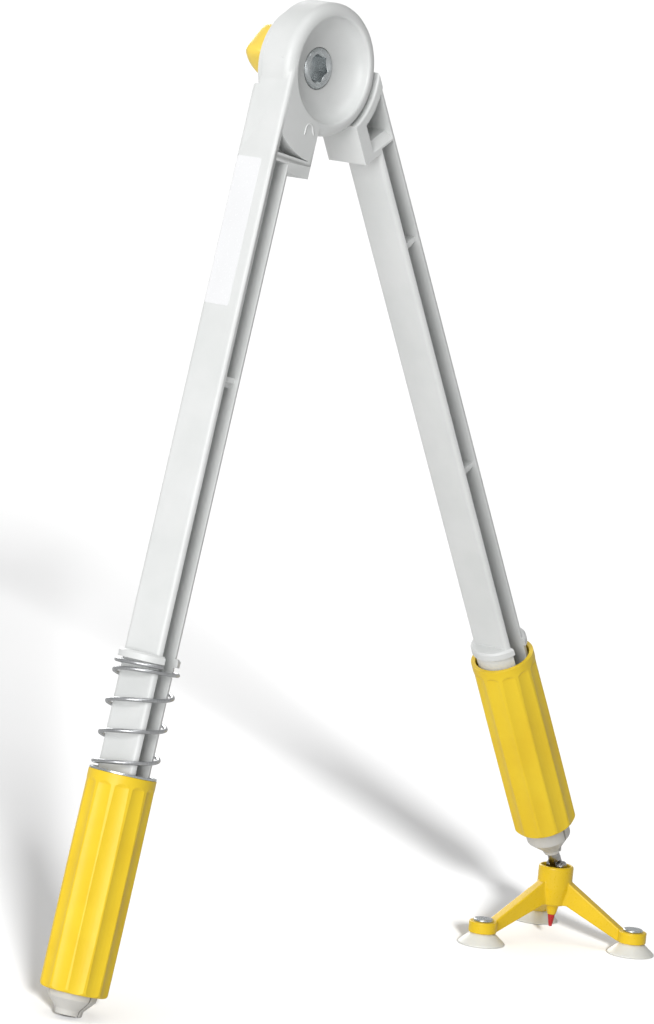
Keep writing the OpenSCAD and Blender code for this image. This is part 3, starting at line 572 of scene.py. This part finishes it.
def finish_for(slot):
    """The finish of a material slot, made once."""
    if slot in FINISHES:
        return FINISHES[slot]
    c = colours()
    if slot == "white_leg":
        mat = plastic("leg_plastic", c.leg, c.leg_shade, rough=(0.36, 0.48), wear=0.25)
    elif slot == "white_jaw":
        mat = plastic("jaw_plastic", c.jaw, shade(c.jaw, 0.94), rough=(0.3, 0.42), patch=0.01)
    elif slot == "yellow_sleeve":
        mat = plastic("sleeve_plastic", c.sleeve, c.sleeve_deep, rough=(0.34, 0.46), grain=0.0007, wear=0.3,
                      dust=0.02, specular=0.35)
    elif slot == "yellow_tripod":
        mat = plastic("tripod_plastic", c.tripod, shade(c.tripod, 0.92), rough=(0.26, 0.38), patch=0.02,
                      dust=0.02, specular=0.4, bump=0.06)
    elif slot == "yellow_knob":
        mat = plastic("knob_plastic", c.knob, shade(c.knob, 0.94), rough=(0.3, 0.42), patch=0.02, dust=0.02,
                      specular=0.4, bump=0.06)
    elif slot == "red_tip":
        mat = plastic("tip_plastic", c.tip, shade(c.tip, 0.85), rough=(0.2, 0.32), patch=0.004)
    elif slot == "white_cup":
        mat = plastic("cup_vinyl", c.cup, shade(c.cup, 0.95), rough=(0.3, 0.45), bump=0.05, patch=0.012,
                      soft=0.15)
    elif slot == "black_washer":
        mat = plastic("washer_plastic", c.black, shade(c.black, 1.6), rough=(0.4, 0.55), patch=0.004)
    elif slot == "fibre":
        mat = plastic("fibre_disc", c.fibre, shade(c.fibre, 1.5), rough=(0.75, 0.9), bump=0.4, patch=0.003)
    elif slot == "label":
        mat = plastic("label_film", c.label, shade(c.label, 0.97), rough=(0.22, 0.3), bump=0.03, wear=0.1)
    elif slot == "zinc":
        mat = metal("zinc_plate", c.zinc, shade(c.zinc, 0.78), rough=(0.18, 0.32))
    elif slot == "spring_steel":
        mat = metal("spring_wire", c.spring, shade(c.spring, 0.8), rough=(0.24, 0.4), blotch=0.006)
    else:
        mat = metal("dark_steel", c.steel, shade(c.steel, 0.75), rough=(0.14, 0.28))
    FINISHES[slot] = mat
    return mat


# Operators, one for each piece or group of like pieces


class COMPASS_OT_finishes(bpy.types.Operator):
    """Gives every CAD node the finish of its material slot"""
    bl_idname = "compass.finishes"
    bl_label = "Finishes"

    def execute(self, context):
        for name, obj in frame["nodes"].items():
            obj.data.materials.clear()
            obj.data.materials.append(finish_for(slot_of[name]))
        return {"FINISHED"}


class COMPASS_OT_legs(bpy.types.Operator):
    """Legs with the soft edges of a moulding"""
    bl_idname = "compass.legs"
    bl_label = "Legs"

    def execute(self, context):
        for nodes in (("left_hub", "left_leg"), ("right_leg",)):
            softened(nodes, sizes().edge, finish_for("white_leg"))
        return {"FINISHED"}


class COMPASS_OT_sleeves(bpy.types.Operator):
    """Fluted sleeves with rounded ridges"""
    bl_idname = "compass.sleeves"
    bl_label = "Sleeves"

    def execute(self, context):
        for node in ("marker_sleeve", "foot_sleeve"):
            softened((node,), sizes().sleeve_edge, finish_for("yellow_sleeve"), degrees=12)
        return {"FINISHED"}


class COMPASS_OT_jaws(bpy.types.Operator):
    """Jaws of both chucks with broken edges"""
    bl_idname = "compass.jaws"
    bl_label = "Jaws"

    def execute(self, context):
        for side in ("marker", "foot"):
            for k in (1, 2, 3):
                softened(("%s_jaw_%d" % (side, k),), sizes().jaw_edge, finish_for("white_jaw"))
        return {"FINISHED"}


class COMPASS_OT_tripod(bpy.types.Operator):
    """Tripod with its socket as one thick moulding, and its pointer"""
    bl_idname = "compass.tripod"
    bl_label = "Tripod"

    def execute(self, context):
        z = sizes()
        moulded(("tripod", "tripod_socket"), z.foot_grid, z.tripod_rounds, finish_for("yellow_tripod"))
        moulded(("centre_tip",), z.foot_grid * TIP_GRID_SHARE, z.tip_rounds, finish_for("red_tip"))
        return {"FINISHED"}


class COMPASS_OT_cups(bpy.types.Operator):
    """Soft suction cups"""
    bl_idname = "compass.cups"
    bl_label = "Suction cups"

    def execute(self, context):
        for k in (1, 2, 3):
            softened(("suction_cup_%d" % k,), sizes().cup_edge, finish_for("white_cup"), segments=3)
        return {"FINISHED"}


class COMPASS_OT_knob(bpy.types.Operator):
    """Wing knob as one thick moulding"""
    bl_idname = "compass.knob"
    bl_label = "Wing knob"

    def execute(self, context):
        z = sizes()
        moulded(("clamp_knob",), z.foot_grid * KNOB_GRID_SHARE, z.knob_rounds, finish_for("yellow_knob"),
                swell=z.knob_swell)
        return {"FINISHED"}


class COMPASS_OT_hardware(bpy.types.Operator):
    """Metal parts with broken edges"""
    bl_idname = "compass.hardware"
    bl_label = "Metal parts"

    def execute(self, context):
        for node in ("pivot_bolt", "bolt_washer", "rear_washer", "spring_washer", "foot_pin", "swivel_fork",
                     "knuckle_rivet", "cup_rivet_1", "cup_rivet_2", "cup_rivet_3"):
            softened((node,), sizes().metal_edge, finish_for(slot_of[node]))
        return {"FINISHED"}


def eased(turns):
    """Turns gained at the new pitch, this many turns after the pitch began to change."""
    if turns <= 0:
        return 0
    if turns >= RAMP_TURNS:
        return turns - RAMP_TURNS / 2
    return turns * turns / (2 * RAMP_TURNS)


def spring_path(z):
    """Points along the spring's wire in the leg's own frame, close at both ends and open between."""
    drop = z.spring_last - z.spring_first
    open_turns = z.spring_turns - UPPER_TURNS - LOWER_TURNS - 2 * RAMP_TURNS
    close_drop = z.closed_pitch * (UPPER_TURNS + LOWER_TURNS + RAMP_TURNS)
    open_pitch = (drop - close_drop) / (open_turns + RAMP_TURNS)
    lower_ramp = z.spring_turns - LOWER_TURNS - RAMP_TURNS
    count = int(z.spring_turns * POINTS_PER_TURN)
    path = []
    for i in range(count + 1):
        turns = z.spring_turns * i / count
        a = z.spring_angle - 2 * math.pi * turns
        opened = eased(turns - UPPER_TURNS) - eased(turns - lower_ramp)
        fall = z.closed_pitch * turns + (open_pitch - z.closed_pitch) * opened
        path.append((z.spring_radius * math.cos(a), z.spring_radius * math.sin(a), -z.spring_first - fall))
    return path


class COMPASS_OT_spring(bpy.types.Operator):
    """Round wire wound with closed ends and open middle turns"""
    bl_idname = "compass.spring"
    bl_label = "Spring"

    def execute(self, context):
        z = sizes()
        obj = wire("marker_spring_wire", spring_path(z), z.wire_radius)
        place(obj, leg_matrix(-LEG_OFFSET))
        bpy.ops.object.shade_smooth_by_angle(angle=SPRING_SMOOTH_ANGLE)
        done(obj, "marker_spring_wire", finish_for("spring_steel"), "marker_leg", "spring_steel",
             "marker_spring")
        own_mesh(obj)
        return {"FINISHED"}


class COMPASS_OT_label(bpy.types.Operator):
    """Blank label on the marker leg's outer side"""
    bl_idname = "compass.label"
    bl_label = "Label"

    def execute(self, context):
        z = sizes()
        deselect()
        bpy.ops.mesh.primitive_plane_add(size=1, location=(0, 0, 0))
        obj = context.object
        obj.scale = (z.label_width, z.label_end - z.label_start, 1)
        bpy.ops.object.transform_apply(location=True, rotation=True, scale=True)
        edit_all(obj)
        bpy.ops.mesh.bevel(offset=z.label_corner, segments=5, affect="VERTICES")
        bpy.ops.mesh.select_all(action="SELECT")
        bpy.ops.mesh.extrude_region_move(TRANSFORM_OT_translate={"value": (0, 0, z.label_thickness)})
        bpy.ops.mesh.select_all(action="SELECT")
        bpy.ops.mesh.normals_make_consistent(inside=False)
        bpy.ops.object.mode_set(mode="OBJECT")
        middle = Matrix.Translation((-z.label_out, z.label_back, -(z.label_start + z.label_end) / 2))
        place(obj, leg_matrix(-LEG_OFFSET) @ middle @ LABEL_TURN)
        edit_all(obj)
        bpy.ops.mesh.normals_make_consistent(inside=False)
        done(obj, "blank_label", finish_for("label"), "marker_leg", "white_leg")
        return {"FINISHED"}


def arch_path(radius):
    """Points along the moulded arch, from its left foot over the round to its right foot."""
    path = [(ARCH_LEFT_FOOT[0], ARCH_FRONT, ARCH_LEFT_FOOT[1])]
    for k in range(ARCH_STEPS + 1):
        a = math.pi * (1 - k / ARCH_STEPS)
        path.append((ARCH_MIDDLE[0] + radius * math.cos(a), ARCH_FRONT, ARCH_MIDDLE[1] + radius * math.sin(a)))
    path.append((ARCH_RIGHT_FOOT[0], ARCH_FRONT, ARCH_RIGHT_FOOT[1]))
    return path


class COMPASS_OT_marks(bpy.types.Operator):
    """Small moulded beads on the marker leg's hub"""
    bl_idname = "compass.marks"
    bl_label = "Moulded marks"

    def execute(self, context):
        z = sizes()
        arch = arch_path(z.mark_radius)
        band = [(x, y, BAND_LEVEL) for x, y in BAND_LINE]
        for name, path, radius in (("plate_mark", arch, z.mark_bead), ("band_mark", band, z.band_bead)):
            obj = wire(name, path, radius)
            place(obj, leg_matrix())
            bpy.ops.object.shade_smooth_by_angle(angle=MARK_SMOOTH_ANGLE)
            done(obj, name, finish_for("white_leg"), "marker_leg", "white_leg")
        return {"FINISHED"}


# Stage


def make_floor(s):
    """Pale floor that throws less light back on the object than it shows."""
    deselect()
    bpy.ops.mesh.primitive_plane_add(size=FLOOR_SIZE, location=(0, 0, -FLOOR_DROP))
    floor = bpy.context.object
    floor.name = "studio_floor"
    mat, tree, bsdf = blank("floor_paint")
    tone = effect(tree, "tone", patch=0.4)
    c = colours().floor
    paint = blend_colour(tree, tone["Drift"], c, shade(c, 0.985))
    seen = add(tree, "ShaderNodeLightPath").outputs["Is Camera Ray"]
    tree.links.new(blend_colour(tree, seen, shade(c, s.bounce), paint), bsdf.inputs["Base Color"])
    bsdf.inputs["Roughness"].default_value = 0.8
    bsdf.inputs["Specular IOR Level"].default_value = 0.1
    floor.data.materials.append(mat)
    return floor


def make_room(s):
    """Room that is brighter on one side, with bright walls in the gloss and plain white behind the object."""
    world = bpy.data.worlds.new("studio_room")
    bpy.context.scene.world = world
    world.use_nodes = True
    tree = world.node_tree
    way = add(tree, "ShaderNodeTexCoord").outputs["Generated"]
    side = add(tree, "ShaderNodeVectorMath", {0: way, 1: BRIGHT_WAY}, operation="DOT_PRODUCT").outputs["Value"]
    glow = to_range(tree, side, s.room_dark, s.room_bright, start=-0.6, full=0.8, kind="SMOOTHSTEP")
    grey = add(tree, "ShaderNodeCombineColor", {0: glow, 1: glow, 2: glow}).outputs[0]
    path = add(tree, "ShaderNodeLightPath").outputs
    wall = (s.gloss, s.gloss, s.gloss, 1)
    lit_room = blend_colour(tree, path["Is Glossy Ray"], grey, wall)
    shown_room = blend_colour(tree, path["Is Camera Ray"], lit_room, (1, 1, 1, 1))
    tree.links.new(shown_room, tree.nodes["Background"].inputs["Color"])


def make_light(name, kind, power, way, receivers, **settings):
    """A light that shines along a way, on the receivers alone."""
    lamp = bpy.data.lights.new(name, kind)
    lamp.energy = power
    for key, value in settings.items():
        setattr(lamp, key, value)
    light = bpy.data.objects.new(name, lamp)
    light.rotation_euler = way.to_track_quat("-Z", "Y").to_euler()
    bpy.context.scene.collection.objects.link(light)
    light.light_linking.receiver_collection = receivers
    return light


def make_lights(s, floor):
    """Lights on the object alone, so the floor stays an even white, and lights on the floor alone.

    On the floor a low light draws the long shadows, and a high one the dark under the feet.
    """
    not_floor = bpy.data.collections.new("not_floor")
    not_floor.objects.link(floor)
    not_floor.collection_objects[0].light_linking.link_state = "EXCLUDE"
    for name, power, size, at in OBJECT_LIGHTS:
        way = LIGHT_AIM - Vector(at)
        light = make_light(name, "AREA", getattr(s, power), way, not_floor, size=size)
        light.location = at
    floor_only = bpy.data.collections.new("floor_only")
    floor_only.objects.link(floor)
    for name, power, spread, way in FLOOR_LIGHTS:
        make_light(name, "SUN", getattr(s, power), Vector(way), floor_only, angle=math.radians(spread))


def make_camera(s):
    """Camera at its distance from the target, turned by azimuth, elevation and roll."""
    az, el, roll = s.azimuth, s.elevation, s.roll
    view = Vector((-math.sin(az) * math.cos(el), math.cos(az) * math.cos(el), -math.sin(el)))
    level = Vector((math.cos(az), math.sin(az), 0))
    upright = level.cross(view)
    right = level * math.cos(roll) + upright * math.sin(roll)
    up = upright * math.cos(roll) - level * math.sin(roll)
    at = Vector(s.target) - view * s.distance
    lens = bpy.data.cameras.new("photo_camera")
    lens.lens = s.lens
    lens.sensor_width = SENSOR_WIDTH
    lens.sensor_fit = "AUTO"
    lens.clip_end = CLIP_END
    camera = bpy.data.objects.new("photo_camera", lens)
    bpy.context.scene.collection.objects.link(camera)
    rows = [(right[i], up[i], -view[i], at[i]) for i in range(3)]
    camera.matrix_world = Matrix(rows + [(0, 0, 0, 1)])
    bpy.context.scene.camera = camera


class COMPASS_OT_stage(bpy.types.Operator):
    """Pale floor, soft light and camera"""
    bl_idname = "compass.stage"
    bl_label = "Stage"

    def execute(self, context):
        s = context.scene.compass_stage
        floor = make_floor(s)
        make_room(s)
        make_lights(s, floor)
        make_camera(s)
        context.scene.view_settings.view_transform = "Standard"
        return {"FINISHED"}


OPERATORS = (COMPASS_OT_finishes, COMPASS_OT_legs, COMPASS_OT_sleeves, COMPASS_OT_jaws, COMPASS_OT_tripod,
             COMPASS_OT_cups, COMPASS_OT_knob, COMPASS_OT_hardware, COMPASS_OT_spring, COMPASS_OT_label,
             COMPASS_OT_marks, COMPASS_OT_stage)


class COMPASS_PT_panel(bpy.types.Panel):
    """Lists the compass's pieces"""
    bl_label = "Board compass"
    bl_idname = "COMPASS_PT_panel"
    bl_space_type = "VIEW_3D"
    bl_region_type = "UI"
    bl_category = "Compass"

    def draw(self, context):
        for cls in OPERATORS:
            self.layout.operator(cls.bl_idname)


CLASSES = (CompassSizes, CompassColours, CompassStage) + OPERATORS + (COMPASS_PT_panel,)


def register():
    for cls in CLASSES:
        bpy.utils.register_class(cls)
    bpy.types.Scene.compass_sizes = PointerProperty(type=CompassSizes)
    bpy.types.Scene.compass_colours = PointerProperty(type=CompassColours)
    bpy.types.Scene.compass_stage = PointerProperty(type=CompassStage)


def unregister():
    del bpy.types.Scene.compass_sizes
    del bpy.types.Scene.compass_colours
    del bpy.types.Scene.compass_stage
    for cls in reversed(CLASSES):
        bpy.utils.unregister_class(cls)


def main():
    register()
    bpy.ops.compass.finishes()
    bpy.ops.compass.legs()
    bpy.ops.compass.sleeves()
    bpy.ops.compass.jaws()
    bpy.ops.compass.tripod()
    bpy.ops.compass.cups()
    bpy.ops.compass.knob()
    bpy.ops.compass.hardware()
    bpy.ops.compass.spring()
    bpy.ops.compass.label()
    bpy.ops.compass.marks()
    bpy.ops.compass.stage()


if __name__ == "__main__":
    main()
